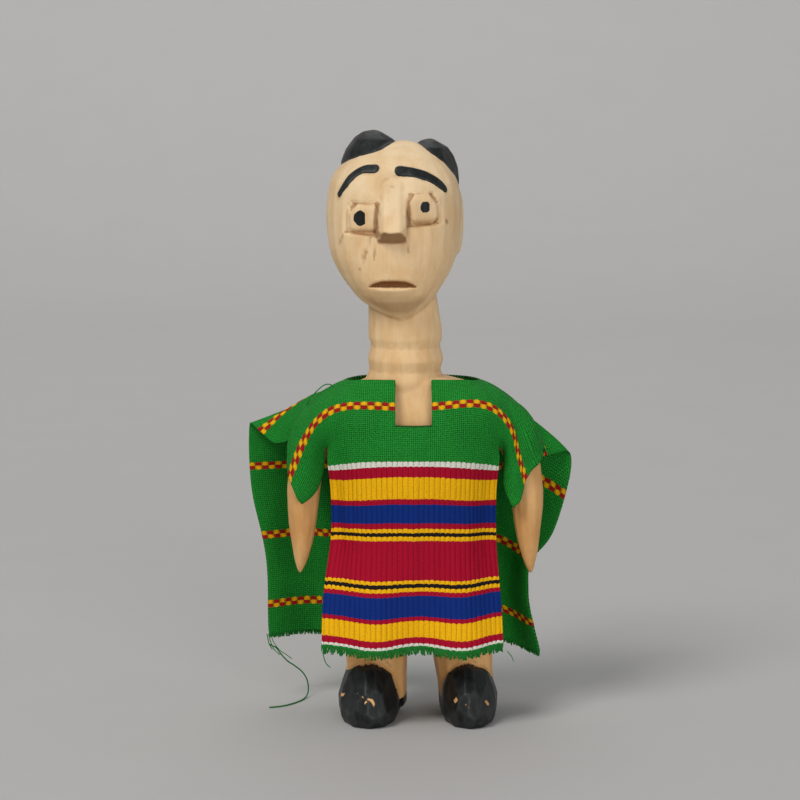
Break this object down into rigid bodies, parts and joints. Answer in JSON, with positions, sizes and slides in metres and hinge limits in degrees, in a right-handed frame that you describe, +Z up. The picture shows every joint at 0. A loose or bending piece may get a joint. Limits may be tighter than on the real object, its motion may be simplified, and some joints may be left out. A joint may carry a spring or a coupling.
{
  "type": "carved male figure",
  "caption": "Carved wooden man standing in black shoes, dressed in a robe of woven strip cloth that hangs over both shoulders.",
  "frame": {"origin": "middle of the underside of the figure and robe's box, on the surface it stands on", "axes": "+Z up along the body, the face looks along -Y, the figure's left arm is at +X"},
  "size_m": [0.1156, 0.0594, 0.2066],
  "materials": {
    "carved_wood": "bare carved wood, satin, with black painted hair, brows, pupils and shoes",
    "strip_cloth": "matt woven cotton and rayon, ribbed stripes and brocade lines",
    "green_thread": "matt twisted thread"
  },
  "bodies": {
    "root": {"carved_figure": "carved_wood", "robe": "strip_cloth", "loose_thread": "green_thread"}
  },
  "joints": []
}
